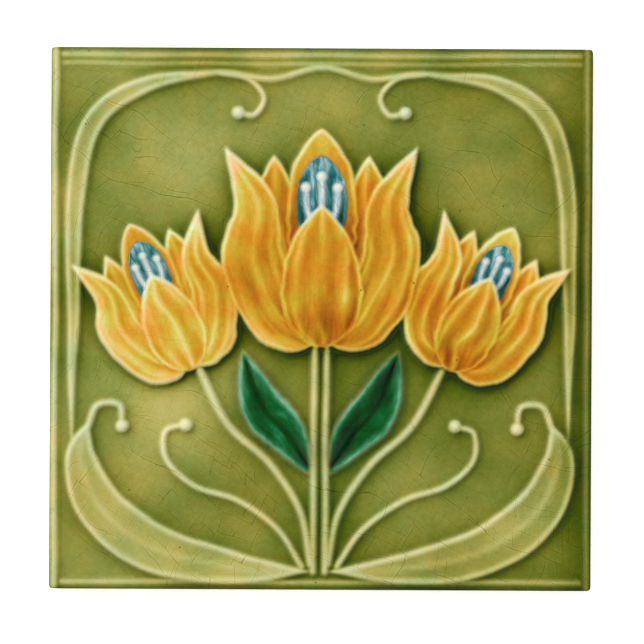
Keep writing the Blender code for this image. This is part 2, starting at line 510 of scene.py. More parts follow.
@dataclass(frozen=True)
class Tulip:
    """A flower of six petals round a painted throat with three stamens.

    root is where its stem ends, lean is how far it tips to the right in degrees, and scale its size. pool
    says how much deeper the amber lies on its petals than glaze elsewhere, and bare how thin on their rims.
    """

    root: Point
    lean: float
    scale: float
    seed: int
    pool: float = 0.22
    bare: float = 0.42
    thread_spread: float = 4.2
    thread_height: float = 44.5

    def placed(self, points: list[Point]) -> list[Point]:
        """Turns, scales and moves points of the upright flower to where it grows.

        Args:
            points: points of the upright flower.

        Returns:
            Their places on the face.
        """
        cosine, sine = math.cos(math.radians(self.lean)), math.sin(math.radians(self.lean))
        return [
            (
                self.root[0] + self.scale * (x * cosine + y * sine),
                self.root[1] + self.scale * (y * cosine - x * sine),
            )
            for x, y in points
        ]

    def petal(
        self, spine: list[Point], half_width: float, lift: float, crown: float, **more: object
    ) -> Blade:
        """Makes one petal at the flower's size, from its spine and widths in the upright flower.

        Args:
            spine: the middle line, from its base.
            half_width: half its greatest width.
            lift: the height of its edge.
            crown: how much higher its middle is.
            more: any other fields of a blade.

        Returns:
            The petal.
        """
        fields = {"pool": self.pool, "bare": self.bare, **more}
        return Blade(self.placed(spine), half_width * self.scale, lift, crown, **fields)

    def stamens(self) -> list[Rib]:
        """Makes the three knobbed threads that stand before the throat.

        Returns:
            The threads.
        """
        made = []
        for offset in (-self.thread_spread, 0.0, self.thread_spread):
            tip = self.thread_height - abs(offset) * 0.7
            spine = [(offset * 0.4, 29), (offset * 0.9, 36), (offset, tip)]
            width = {"start": 0.7 * self.scale, "end": 0.9 * self.scale, "knob": 1.25 * self.scale}
            made.append(Rib(self.placed(spine), rise=0.7, ground=0.4, pigment=Pigment.MILK, **width))
        return made

    def forms(self) -> list[Blade | Rib]:
        """Lists the flower's parts, the rearmost first.

        Returns:
            The petals, the throat and the threads.
        """
        made: list[Blade | Rib] = []
        for side in (1, -1):
            inner = [(side * 3, 8), (side * 11, 28), (side * 12.5, 50)]
            shape = {"half_width": 7.6, "lift": 0.5, "crown": 0.6, "pleats": 2, "ruffle": 0.05}
            made.append(self.petal(inner, seed=self.seed + side, **shape))
        back = [(0, 12), (0, 34), (0, 57)]
        shape = {"half_width": 9.6, "lift": 0.6, "crown": 0.3, "belly": 0.55, "tip": 0.7, "ruffle": 0.04}
        made.append(self.petal(back, seed=self.seed + 2, **shape))
        throat = [(0, 24), (0, 37), (0, 50)]
        paint = {"pigment": Pigment.TEAL, "margin": 0.0, "pool": -0.2, "bare": 0.0}
        shape = {"half_width": 6.6, "lift": 0.45, "crown": 0.0, "belly": 0.55, "tip": 0.6, "rim": 0.1}
        made.append(self.petal(throat, seed=self.seed + 3, ruffle=0.04, **shape, **paint))
        made += self.stamens()
        pleated = {"pleats": 3, "pleat_depth": 0.18}
        for side in (1, -1):
            outer = [(side * 1.5, 1.5), (side * 12, 8), (side * 18, 23), (side * 17.5, 37), (side * 25, 52)]
            shape = {"half_width": 8.2, "lift": 0.8, "crown": 0.9, "belly": 0.4, "tip": 0.9, "ruffle": 0.05}
            made.append(self.petal(outer, seed=self.seed + 5 + side, **shape, **pleated))
        front = [(0, 0), (0, 17), (0, 37)]
        shape = {"half_width": 11.0, "lift": 1.0, "crown": 0.8, "ruffle": 0.03}
        made.append(self.petal(front, seed=self.seed + 9, **shape, **pleated))
        return made


@dataclass
class Relief:
    """The whole design of the face: flowers, leaves and lines, the same on both sides of the centre.

    The fillets stand along the left and right edges, the beads along the top and the bottom. The bands are
    painted shade: deeper glaze that darkens the face's very edge at the top and the bottom. A pool says how
    much deeper or thinner glaze lies there.
    """

    half: float
    stem_gap: float = 1.7
    fillet_inset: float = 1.4
    fillet_half_width: float = 0.95
    fillet_rise: float = 1.0
    left_pool: float = -0.1
    right_pool: float = 0.26
    bead_inset: float = 2.2
    bead_pitch: float = 2.3
    bead_half_width: float = 0.8
    bead_rises: tuple[float, float, float] = (0.7, 0.55, 0.75)
    band_inset: float = 0.2
    band_half_width: float = 0.7
    edge_shade_pool: float = 0.35
    knob: float = 1.9
    centre_tulip: Tulip = Tulip((0.0, -8.0), 0.0, 1.08, 100)
    side_tulip: Tulip = Tulip((36.0, -14.5), 24.0, 0.78, 200)

    def leaves(self) -> list[Blade]:
        """Lists the leaves of the right half.

        Returns:
            The leaves, the rearmost first.
        """
        lower = Blade(
            [(2, -71), (24, -70), (46, -65), (61, -54), (67, -40), (65, -29)],
            half_width=7.2,
            lift=0.45,
            crown=0.3,
            rim=0.8,
            belly=0.5,
            base=1.0,
            tip=0.9,
            pigment=Pigment.OLIVE,
            rim_width=0.85,
            vein=0.3,
            ruffle=0.02,
            pool=-0.07,
            seed=300,
        )
        frame = replace(
            lower,
            spine=[(69.6, -38), (69.8, -5), (69.1, 32), (63.9, 55.2), (49.3, 66), (27, 69)],
            half_width=3.0,
            lift=0.4,
            crown=0.2,
            rim=0.7,
            belly=0.6,
            rim_width=0.75,
            vein=0.0,
            seed=310,
        )
        emerald = Blade(
            [(1.5, -44), (9, -33), (16.5, -24), (22, -9)],
            half_width=6.6,
            lift=1.2,
            crown=-0.9,
            rim=0.42,
            belly=0.55,
            base=0.9,
            tip=1.0,
            pigment=Pigment.EMERALD,
            rim_width=0.8,
            margin=0.1,
            vein=-0.4,
            ruffle=0.03,
            seed=320,
        )
        return [lower, frame, emerald]

    def lines(self) -> list[Rib]:
        """Lists the curls, stems and tendrils of the right half.

        Returns:
            The lines.
        """
        leaf_curl = [(65.2, -31), (62.5, -24.5), (56.5, -24.5), (55.5, -30.5)]
        frame_curl = [(29, 68.8), (21, 67.5), (16.5, 62.5), (19, 57.5), (23.5, 58)]
        side_stem = [(2.5, -69), (5.5, -54), (14, -41), (26, -30), (34, -14.5)]
        tendril = [(5, -69.5), (12, -59), (23, -51), (35, -47), (43, -40), (43.5, -32), (38, -30)]
        centre_stem = [(self.stem_gap, -71), (self.stem_gap, -38), (self.stem_gap, -6)]
        return [
            Rib(leaf_curl, start=1.3, end=1.0, knob=self.knob),
            Rib(frame_curl, start=0.6, end=1.1, knob=self.knob),
            Rib(side_stem, start=1.3, end=1.5),
            Rib(tendril, start=1.15, end=0.9, knob=self.knob),
            Rib(centre_stem, start=1.3, end=1.3),
        ]

    def border(self) -> list[Rib]:
        """Lists the fillets along the sides, and the fine beads along the top and the bottom.

        The glaze is thin on the left fillet and deep on the right one, so the left shows paler and the
        right darker.

        Returns:
            The border's lines.
        """
        made = []
        for side, pool in ((-1, self.left_pool), (1, self.right_pool)):
            place = side * (self.half - self.fillet_inset)
            upright = [(place, -self.half), (place, 0.0), (place, self.half)]
            width = self.fillet_half_width
            made.append(Rib(upright, width, width, self.fillet_rise, pool=pool))
        reach = self.half - 2.5 * self.fillet_inset
        top = self.half - self.bead_inset
        for height, rise in zip((top, top - self.bead_pitch, -top), self.bead_rises):
            level = [(-reach, height), (0.0, height), (reach, height)]
            made.append(Rib(level, self.bead_half_width, self.bead_half_width, rise))
        for height in (self.half - self.band_inset, self.band_inset - self.half):
            level = [(-self.half, height), (0.0, height), (self.half, height)]
            # Painted shade: deeper glaze darkens the top and bottom edges.
            made.append(Rib(level, self.band_half_width, self.band_half_width, 0.0, pool=self.edge_shade_pool))
        return made

    def press(self, face: FaceMap) -> None:
        """Presses every form into the map, from the rearmost to the frontmost.

        Args:
            face: the map of the face.
        """
        for form in self.border():
            form.press(face)
        for form in self.leaves() + self.lines() + self.side_tulip.forms():
            form.press(face)
            form.mirrored().press(face)
        right = [(14, 67.6), (26, 69.1), (36, 68.6)]
        left = [(-x, y) for x, y in reversed(right)]
        garland = Rib([*left, (0, 70.6), *right], start=1.0, end=1.0, rise=1.1)
        for form in [garland, *self.centre_tulip.forms()]:
            form.press(face)


@dataclass
class GlazeCoat:
    """The glaze as it settled on the relief: its outer surface, its depth and the spread of its colours.

    The surface is the relief smoothed over fill, and by the share broad_share over broad_fill times that,
    with a slow swell. It pooled beside the forms by each pooling's share of the relief within its reach,
    and thicken says how much more it gathered in the deepest hollows. run shifts the pooling to the forms'
    lower right, so the deeper glaze there is also painted shade, as if the forms were lit from the upper
    left.
    puddles are broad places where it lay thicker or thinner: their middle, their reach and the difference.
    Within right_band of the right edge it is deeper by up to right_gain. The colours are blurred a little
    where they meet, and the emerald bled as far as bleed_reach. The busynesses say how much the bends of
    the depth and of the paint count beside those of the surface, where the mesh is made finer.
    """

    face: FaceMap
    top: float
    fill: float = 0.5
    broad_fill: float = 2.5
    broad_share: float = 0.3
    swell: float = 0.07
    swell_size: float = 21.0
    swell_seed: int = 21
    mould_blur: float = 0.28
    trait_blur: float = 0.3
    paint_blur: float = 0.25
    base_depth: float = 0.37
    pooling: tuple[tuple[float, float], ...] = ((0.45, 0.17), (1.0, 0.13), (2.4, 0.3), (7.0, 0.32))
    # Shifts the pooling to the forms' lower right: painted shade, as if lit from the upper left.
    run: Point = (0.55, -0.6)
    thicken: float = 0.9
    puddles: tuple[tuple[Point, float, float], ...] = (
        ((-46.0, -14.0), 15.0, -0.35),
        ((46.0, -8.0), 15.0, -0.08),
        ((-20.0, -50.0), 12.0, 0.2),
        ((-36.0, 48.0), 16.0, -0.07),
        ((40.0, 50.0), 14.0, 0.08),
    )
    right_band: float = 14.0
    right_gain: float = 0.3
    bleed_reach: float = 1.7
    depth_busyness: float = 0.8
    paint_busyness: float = 0.3
    surface: np.ndarray = field(init=False)
    layers: dict[str, np.ndarray] = field(default_factory=dict)

    def settle(self) -> None:
        """Works out the glaze's outer surface, and the layers that the material reads."""
        face = self.face
        fine = (1 - self.broad_share) * face.blurred(face.height, self.fill)
        filled = self.broad_share * face.blurred(face.height, self.broad_fill * self.fill)
        swell = self.swell * drift(face.x, face.y, self.swell_size, self.swell_seed)
        self.surface = np.clip(fine + filled + swell, -self.swell, self.top)
        relief = face.blurred(face.height, self.mould_blur)
        gained = np.zeros(relief.shape)
        for reach, share in self.pooling:
            # Pooled glaze, shifted to each form's lower right, where it also paints shade.
            gained = gained + share * (face.blurred(relief, reach, self.run) - relief)
        gained = gained + self.thicken * np.maximum(gained, 0) ** 2
        for (x, y), reach, change in self.puddles:
            away = (face.x - x) ** 2 + (face.y - y) ** 2
            gained = gained + change * np.exp(-away / (2 * reach**2))
        # Deeper glaze near the right edge: the face is darker towards the right.
        gained = gained + self.right_gain * ease((face.x - face.half) / self.right_band + 1)
        self.layers["depth"] = self.base_depth + face.blurred(face.traits["pool"], self.trait_blur) + gained
        self.layers["tone"] = face.blurred(face.traits["tone"], self.trait_blur)
        self.layers["across"] = face.traits["across"]
        self.layers["along"] = face.traits["along"]
        for pigment, cover in face.cover.items():
            if pigment is not Pigment.OLIVE:
                self.layers[pigment.value] = face.blurred(cover, self.paint_blur)
        self.layers["bleed"] = face.blurred(face.cover[Pigment.EMERALD], self.bleed_reach)

    def bend(self, layer: np.ndarray) -> np.ndarray:
        """Says how far a layer bends away from a straight slope at each place.

        Args:
            layer: a layer of the map.

        Returns:
            How sharply it bends, never below 0.
        """
        pitch = self.face.pitch
        slopes = np.gradient(layer, pitch)
        return sum(np.abs(second) for slope in slopes for second in np.gradient(slope, pitch))

    def busyness(self) -> np.ndarray:
        """Says how sharply the surface and its colours bend at each place, to guide the mesh's fineness.

        Returns:
            A layer in which the mesh needs finer faces where the values are higher.
        """
        busy = self.bend(self.surface) + self.depth_busyness * self.bend(self.layers["depth"])
        for pigment in (Pigment.AMBER, Pigment.TEAL, Pigment.MILK, Pigment.EMERALD):
            busy = busy + self.paint_busyness * self.bend(self.layers[pigment.value])
        return busy


@dataclass
class Workbench:
    """A material being made: it adds nodes to the tree, and wires or sets their sockets."""

    name: str

    def __post_init__(self) -> None:
        """Starts a material with one shader."""
        self.material = bpy.data.materials.new(self.name)
        self.material.use_nodes = True
        self.tree = self.material.node_tree
        self.shader = self.tree.nodes["Principled BSDF"]

    def feed(self, socket: bpy.types.NodeSocket, value: object) -> None:
        """Wires another socket into this one, or sets it to a plain value.

        Args:
            socket: the input.
            value: another socket, or a number, vector or colour.
        """
        if isinstance(value, bpy.types.NodeSocket):
            self.tree.links.new(value, socket)
        else:
            socket.default_value = value

    def attribute(self, name: str) -> bpy.types.NodeSocket:
        """Reads a value that the mesh carries.

        Args:
            name: the attribute's name.

        Returns:
            The value's socket.
        """
        node = self.tree.nodes.new("ShaderNodeAttribute")
        node.attribute_name = name
        return node.outputs["Fac"]

    def place(self) -> bpy.types.NodeSocket:
        """Gives each point's place on the object, in millimetres.

        Returns:
            The place's socket.
        """
        coordinates = self.tree.nodes.new("ShaderNodeTexCoord")
        scale = self.tree.nodes.new("ShaderNodeVectorMath")
        scale.operation = "SCALE"
        self.feed(scale.inputs[0], coordinates.outputs["Object"])
        scale.inputs["Scale"].default_value = 1 / MM
        return scale.outputs[0]

    def parts(self, vector: bpy.types.NodeSocket) -> list[bpy.types.NodeSocket]:
        """Splits a vector into its three numbers.

        Args:
            vector: the vector's socket.

        Returns:
            The three sockets.
        """
        node = self.tree.nodes.new("ShaderNodeSeparateXYZ")
        self.feed(node.inputs[0], vector)
        return list(node.outputs)

    def vector(self, x: object, y: object, z: object) -> bpy.types.NodeSocket:
        """Joins three numbers into a vector.

        Args:
            x: the first number or its socket.
            y: the second.
            z: the third.

        Returns:
            The vector's socket.
        """
        node = self.tree.nodes.new("ShaderNodeCombineXYZ")
        for socket, value in zip(node.inputs, (x, y, z)):
            self.feed(socket, value)
        return node.outputs[0]

    def sum(self, first: object, second: object) -> bpy.types.NodeSocket:
        """Adds two vectors.

        Args:
            first: a vector or its socket.
            second: the other one.

        Returns:
            The sum's socket.
        """
        node = self.tree.nodes.new("ShaderNodeVectorMath")
        self.feed(node.inputs[0], first)
        self.feed(node.inputs[1], second)
        return node.outputs[0]

    def stretched(self, vector: object, factors: tuple[float, float, float]) -> bpy.types.NodeSocket:
        """Multiplies a vector by a factor for each axis.

        Args:
            vector: the vector's socket.
            factors: the three factors.

        Returns:
            The stretched vector's socket.
        """
        node = self.tree.nodes.new("ShaderNodeVectorMath")
        node.operation = "MULTIPLY"
        self.feed(node.inputs[0], vector)
        node.inputs[1].default_value = factors
        return node.outputs[0]

    def turned(self, vector: object, angle: object) -> bpy.types.NodeSocket:
        """Turns a vector round the upright axis by an angle in radians.

        Args:
            vector: the vector's socket.
            angle: the angle.

        Returns:
            The turned vector's socket.
        """
        node = self.tree.nodes.new("ShaderNodeVectorRotate")
        node.rotation_type = "Z_AXIS"
        self.feed(node.inputs["Vector"], vector)
        self.feed(node.inputs["Angle"], angle)
        return node.outputs[0]

    def maths(
        self, operation: str, first: object, second: object = 0.0, third: object = 0.0, clamp: bool = False
    ) -> bpy.types.NodeSocket:
        """Works out one number from two or three.

        Args:
            operation: the Math node's operation.
            first: its first number or socket.
            second: its second number or socket.
            third: its third number or socket.
            clamp: whether the result is held between 0 and 1.

        Returns:
            The result's socket.
        """
        node = self.tree.nodes.new("ShaderNodeMath")
        node.operation = operation
        node.use_clamp = clamp
        for socket, value in zip(node.inputs, (first, second, third)):
            self.feed(socket, value)
        return node.outputs[0]

    def plus(self, first: object, second: object) -> bpy.types.NodeSocket:
        """Adds two numbers."""
        return self.maths("ADD", first, second)

    def minus(self, first: object, second: object) -> bpy.types.NodeSocket:
        """Takes the second number from the first."""
        return self.maths("SUBTRACT", first, second)

    def times(self, first: object, second: object) -> bpy.types.NodeSocket:
        """Multiplies two numbers."""
        return self.maths("MULTIPLY", first, second)

    def scaled(
        self, value: object, low: float, high: float, to_low: float = 0.0, to_high: float = 1.0
    ) -> bpy.types.NodeSocket:
        """Carries a number from one range to another, held at its ends.

        Args:
            value: the number.
            low: the start of its range.
            high: the end of its range.
            to_low: the start of the new range.
            to_high: the end of the new range.

        Returns:
            The result's socket.
        """
        node = self.tree.nodes.new("ShaderNodeMapRange")
        for socket, number in zip(node.inputs, (value, low, high, to_low, to_high)):
            self.feed(socket, number)
        return node.outputs[0]

    def noise(
        self, vector: object, size: float, detail: float = 2.0, roughness: float = 0.5
    ) -> tuple[bpy.types.NodeSocket, bpy.types.NodeSocket]:
        """Makes a cloudy pattern.

        Args:
            vector: where it is read, in millimetres.
            size: the size of its patches in millimetres.
            detail: how many finer layers it has.
            roughness: how strong those are.

        Returns:
            The pattern's number, which averages 0.5, and its colour.
        """
        node = self.tree.nodes.new("ShaderNodeTexNoise")
        self.feed(node.inputs["Vector"], vector)
        node.inputs["Scale"].default_value = 1 / size
        node.inputs["Detail"].default_value = detail
        node.inputs["Roughness"].default_value = roughness
        return node.outputs[0], node.outputs[1]

    def clouds(
        self, vector: object, size: float, detail: float = 2.0, roughness: float = 0.5
    ) -> bpy.types.NodeSocket:
        """Gives only the number of a cloudy pattern, with the same arguments as noise."""
        return self.noise(vector, size, detail, roughness)[0]

    def cells(
        self, place: object, size: float, feature: str, dimensions: str, jitter: float = 1.0
    ) -> bpy.types.Node:
        """Makes a pattern of cells.

        Args:
            place: where it is read, in millimetres: a number for 1D cells, or else a vector.
            size: the size of the cells in millimetres.
            feature: the Voronoi feature, such as F1 or DISTANCE_TO_EDGE.
            dimensions: whether the cells are lengths of a line, 1D, or flat, 2D.
            jitter: how unequal they are, from 0 to 1.

        Returns:
            The node itself.
        """
        node = self.tree.nodes.new("ShaderNodeTexVoronoi")
        node.voronoi_dimensions = dimensions
        node.feature = feature
        self.feed(node.inputs["W" if dimensions == "1D" else "Vector"], place)
        node.inputs["Scale"].default_value = 1 / size
        node.inputs["Randomness"].default_value = jitter
        return node

    def ramp(self, share: object, stops: list[tuple[float, Colour]]) -> bpy.types.NodeSocket:
        """Turns a number into a colour.

        Args:
            share: the number, from 0 to 1.
            stops: the places of the colours between 0 and 1, and the colours as the light shows them.

        Returns:
            The colour's socket.
        """
        node = self.tree.nodes.new("ShaderNodeValToRGB")
        self.feed(node.inputs[0], share)
        fill_ramp(node, [(position, linear(colour, LIGHT_LEVEL)) for position, colour in stops])
        return node.outputs[0]

    def blend(
        self, share: object, first: object, second: object, kind: str = "MIX"
    ) -> bpy.types.NodeSocket:
        """Blends two colours.

        Args:
            share: how much of the second colour there is.
            first: the first colour or its socket.
            second: the second colour or its socket.
            kind: the way in which they are blended.

        Returns:
            The blended colour's socket.
        """
        node = self.tree.nodes.new("ShaderNodeMix")
        node.data_type = "RGBA"
        node.blend_type = kind
        self.feed(node.inputs[0], share)
        self.feed(node.inputs[6], first)
        self.feed(node.inputs[7], second)
        return node.outputs[2]

    def bump(self, height: object) -> bpy.types.NodeSocket:
        """Turns heights in millimetres into a fine relief.

        Args:
            height: the heights.

        Returns:
            The normal's socket.
        """
        node = self.tree.nodes.new("ShaderNodeBump")
        node.inputs["Strength"].default_value = 1.0
        node.inputs["Distance"].default_value = MM
        self.feed(node.inputs["Height"], height)
        return node.outputs[0]


@dataclass(frozen=True)
class GlazeColours:
    """How each glaze looks from thin to thick, as pairs of depth and the colour that a screen shows."""

    thinnest: float = -0.9
    thickest: float = 1.3
    olive: tuple[tuple[float, Colour], ...] = (
        (-0.9, (238, 233, 200)),
        (-0.5, (221, 218, 174)),
        (-0.15, (202, 200, 143)),
        (0.12, (184, 181, 109)),
        (0.34, (156, 155, 78)),
        (0.52, (132, 134, 55)),
        (0.74, (103, 109, 27)),
        (0.98, (73, 84, 11)),
        (1.3, (36, 54, 6)),
    )
    amber: tuple[tuple[float, Colour], ...] = (
        (-0.9, (250, 242, 212)),
        (-0.3, (246, 230, 174)),
        (0.0, (239, 211, 122)),
        (0.2, (230, 192, 82)),
        (0.4, (219, 171, 54)),
        (0.62, (204, 145, 38)),
        (0.86, (182, 113, 30)),
        (1.3, (122, 60, 16)),
    )
    teal: tuple[tuple[float, Colour], ...] = (
        (-0.9, (222, 230, 234)),
        (-0.1, (184, 208, 220)),
        (0.2, (124, 168, 172)),
        (0.45, (58, 130, 133)),
        (0.75, (28, 96, 94)),
        (1.2, (14, 52, 42)),
    )
    milk: tuple[tuple[float, Colour], ...] = (
        (-0.9, (240, 240, 226)),
        (0.2, (214, 224, 224)),
        (0.6, (152, 186, 200)),
        (1.2, (70, 122, 146)),
    )
    emerald: tuple[tuple[float, Colour], ...] = (
        (-0.9, (178, 208, 176)),
        (-0.2, (112, 172, 136)),
        (0.08, (44, 126, 79)),
        (0.3, (13, 96, 43)),
        (0.5, (17, 70, 26)),
        (0.75, (16, 50, 22)),
        (1.1, (10, 26, 14)),
    )

    def stops(self, pigment: Pigment) -> list[tuple[float, Colour]]:
        """Gives a glaze's colours at shares of the whole range of depths.

        Args:
            pigment: the glaze.

        Returns:
            Pairs of a share, from 0 to 1, and the colour there.
        """
        reach = self.thickest - self.thinnest
        return [((depth - self.thinnest) / reach, colour) for depth, colour in getattr(self, pigment.value)]


@dataclass(frozen=True)
class Cracks:
    """One generation of the cracks in the glaze, each of which ends at the cracks of the last generation.

    gap is how far apart they are, width how wide, and strength how dark. They show where a cloudy pattern
    of the given patch size passes the threshold.
    """

    gap: float
    width: float
    strength: float
    patch: float
    threshold: float


@dataclass(frozen=True)
class MajolicaFinish:
    """Glossy coloured lead glaze, crazed and mottled, with bare buff clay where it runs out.

    The crazing starts from straight cracks at the angle slant, which swirl and sway bend. jitter says how
    unequal the gaps are, stray by what share of its gap each crack wanders, and apart how far the pattern
    shifts from one side of a crack to the other, so that the next cracks end there. The colours from brown
    to crack_highlight multiply a glaze's own, and the last of them is a painted highlight that lightens the
    glaze beside each crack. A name that ends in depth says how much a pattern thickens the glaze that is
    seen, and one that ends in height how far it swells the surface, in millimetres. run_edge gives the
    heights on the sides where the shortest and the longest runs of glaze end.
    """

    colours: GlazeColours = GlazeColours()
    roughness: float = 0.09
    gloss_level: float = 0.18
    refraction: float = 1.52
    clay_roughness: float = 0.85
    clay: Colour = (214, 196, 160)
    stain: Colour = (150, 128, 92)
    speck: Colour = (92, 50, 24)
    run: Colour = (24, 60, 22)
    buff: Colour = (224, 208, 154)
    ochre: Colour = (196, 164, 72)
    brown: Colour = (255, 248, 222)
    cool: Colour = (236, 253, 252)
    yellow: Colour = (242, 255, 228)
    red: Colour = (255, 223, 194)
    crack_shade: Colour = (142, 144, 110)
    # Painted highlight: lightens the glaze beside each crack.
    crack_highlight: tuple[float, float, float, float] = (1.3, 1.3, 1.25, 1.0)
    cloud_depth: float = 0.17
    curdle_depth: float = 0.075
    grain_depth: float = 0.035
    across_depth: float = 0.0008
    fibre_depth: float = 0.12
    skin_height: float = 0.08
    crack_height: float = -0.018
    pit_height: float = -0.1
    clay_height: float = 0.25
    lip_height: float = 0.15
    generations: tuple[Cracks, ...] = (
        Cracks(gap=11.0, width=0.15, strength=0.8, patch=26.0, threshold=0.1),
        Cracks(gap=8.5, width=0.14, strength=0.78, patch=19.0, threshold=0.14),
        Cracks(gap=6.0, width=0.13, strength=0.74, patch=15.0, threshold=0.2),
        Cracks(gap=4.4, width=0.12, strength=0.66, patch=12.0, threshold=0.34),
        Cracks(gap=2.8, width=0.1, strength=0.55, patch=13.0, threshold=0.46),
    )
    slant: float = 0.5
    jitter: float = 0.7
    stray: float = 0.8
    apart: float = 60.0
    swirl: float = 24.0
    sway: float = 3.6
    pit_cell: float = 13.0
    pit_chance: float = 0.14
    pit_strength: float = 0.8
    run_edge: tuple[float, float] = (6.9, 2.6)

    def crazing(self, bench: Workbench, place: object) -> tuple[bpy.types.NodeSocket, bpy.types.NodeSocket]:
        """Makes the net of fine cracks in the glaze, long curves with shorter cracks between them.

        Args:
            bench: the material.
            place: each point's place in millimetres.

        Returns:
            How strongly a crack shows, and how strongly the painted highlight beside it shows, from 0 to 1.
        """
        _, swirl = bench.noise(place, size=46.0, detail=0.0)
        _, sway = bench.noise(place, size=12.0, detail=1.0)
        bent = bench.sum(bench.turned(place, self.slant), self.spread(bench, swirl, self.swirl))
        ahead, aside, _ = bench.parts(bench.sum(bent, self.spread(bench, sway, self.sway)))
        ways = [aside, ahead]
        line: object = 0.0
        highlight: object = 0.0
        for index, cracks in enumerate(self.generations):
            layer = bench.sum(place, (0.0, 0.0, 40.0 * index))
            wander = bench.clouds(layer, size=2.2 * cracks.gap, detail=0.0)
            reach = 0.5 * self.stray * cracks.gap
            way = bench.plus(ways[0], bench.scaled(wander, 0.0, 1.0, -reach, reach))
            edge = bench.cells(way, cracks.gap, "DISTANCE_TO_EDGE", "1D", self.jitter).outputs["Distance"]
            span = cracks.width / cracks.gap
            mark = bench.scaled(edge, 0.15 * span, 0.8 * span, cracks.strength, 0.0)
            clouds = bench.clouds(place, cracks.patch, 1.0)
            shown = bench.scaled(clouds, cracks.threshold, cracks.threshold + 0.1)
            line = bench.maths("MAXIMUM", line, bench.times(mark, shown))
            # The band beside each crack that is lightened: a painted highlight.
            highlight_band = bench.scaled(edge, 0.8 * span, 3.2 * span, cracks.strength, 0.0)
            highlight = bench.maths("MAXIMUM", highlight, bench.times(highlight_band, shown))
            cell = bench.parts(bench.cells(way, cracks.gap, "F1", "1D", self.jitter).outputs["Color"])
            ways = [bench.maths("MULTIPLY_ADD", cell[0], self.apart, ways[1]), way]
        fading = bench.clouds(place, size=5.0, detail=2.0)
        faded = bench.scaled(fading, 0.32, 0.6, 0.45, 1.0)
        return bench.times(line, faded), bench.times(highlight, faded)

    def spread(self, bench: Workbench, colour: object, reach: float) -> bpy.types.NodeSocket:
        """Turns a noise colour into a push of up to that reach, all told, each way.

        Args:
            bench: the material.
            colour: the noise colour.
            reach: the push, in millimetres.

        Returns:
            The push, as a vector's socket.
        """
        node = bench.tree.nodes.new("ShaderNodeVectorMath")
        node.operation = "MULTIPLY_ADD"
        bench.feed(node.inputs[0], colour)
        node.inputs[1].default_value = (reach, reach, 0.0)
        node.inputs[2].default_value = (-reach / 2, -reach / 2, 0.0)
        return node.outputs[0]

    def specks(self, bench: Workbench, place: bpy.types.NodeSocket) -> bpy.types.NodeSocket:
        """Makes a few small pinholes in the glaze, where one point in a large cell may be one.

        Args:
            bench: the material.
            place: each point's place in millimetres.

        Returns:
            How strongly a pinhole shows, from 0 to 1.
        """
        cells = bench.cells(place, self.pit_cell, "F1", "2D")
        chosen = bench.maths("GREATER_THAN", bench.parts(cells.outputs["Color"])[0], 1 - self.pit_chance)
        spot = bench.scaled(cells.outputs["Distance"], 0.01, 0.026, 1.0, 0.0)
        return bench.times(spot, chosen)

    def brushed(
        self, bench: Workbench, across: float, along: float, detail: float = 2.0
    ) -> bpy.types.NodeSocket:
        """Makes streaks that run along each form.

        Args:
            bench: the material.
            across: how wide they are, in millimetres.
            along: how long they are.
            detail: how many finer layers they have.

        Returns:
            The streaks' number, from -0.5 to 0.5.
        """
        aside = bench.times(bench.attribute("across"), 1 / across)
        ahead = bench.times(bench.attribute("along"), 1 / along)
        streaks = bench.clouds(bench.vector(aside, ahead, 0.0), 1.0, detail)
        return bench.minus(streaks, 0.5)

    def glaze_colour(self, bench: Workbench, place: bpy.types.NodeSocket) -> bpy.types.NodeSocket:
        """Works out the colour of the glazes from their depth.

        Args:
            bench: the material.
            place: each point's place in millimetres.

        Returns:
            The colour's socket.
        """
        clouds = bench.clouds(place, size=30.0, detail=2.0, roughness=0.55)
        patches = bench.clouds(place, size=8.0, detail=2.0)
        curdle = bench.clouds(place, size=1.6, detail=4.0, roughness=0.7)
        settled = bench.attribute("depth")
        crest = bench.scaled(settled, -0.4, 0.35, 0.7, 0.12)
        uneven = bench.times(bench.minus(patches, 0.5), crest)
        depth = bench.plus(settled, uneven)
        depth = bench.plus(depth, bench.scaled(clouds, 0.3, 0.7, -self.cloud_depth, self.cloud_depth))
        grain = bench.clouds(place, size=0.55, detail=1.0)
        for pattern, change in ((curdle, self.curdle_depth), (grain, self.grain_depth)):
            depth = bench.plus(depth, bench.scaled(pattern, 0.2, 0.8, -change, change))
        tone = bench.attribute("tone")
        values = {
            # The ground glaze deepens across the face, so it is darker towards the right.
            Pigment.OLIVE: bench.maths("MULTIPLY_ADD", bench.parts(place)[0], self.across_depth, depth),
            Pigment.AMBER: self.flamed(bench, depth, tone),
            Pigment.TEAL: bench.maths("MULTIPLY_ADD", self.brushed(bench, 2.0, 8.0), 2.6, depth),
            Pigment.MILK: bench.maths("MULTIPLY_ADD", self.brushed(bench, 0.9, 4.0), 2.2, depth),
            Pigment.EMERALD: bench.maths("MULTIPLY_ADD", self.brushed(bench, 3.0, 9.0), 1.0, depth),
        }
        colour = None
        for pigment, value in values.items():
            share = bench.scaled(value, self.colours.thinnest, self.colours.thickest)
            layer = bench.ramp(share, self.colours.stops(pigment))
            if pigment is Pigment.AMBER:
                layer = self.flushed(bench, layer, place)
            if colour is None:
                colour = self.tinted(bench, layer, place)
            else:
                colour = bench.blend(bench.attribute(pigment.value), colour, layer)
        ragged = bench.scaled(patches, 0.3, 0.7, 0.9, 1.5)
        share = bench.maths("MULTIPLY", bench.attribute("bleed"), ragged, clamp=True)
        under = bench.maths("SUBTRACT", 1.0, bench.attribute("emerald"), clamp=True)
        return bench.blend(bench.times(share, under), colour, linear(self.run, LIGHT_LEVEL))

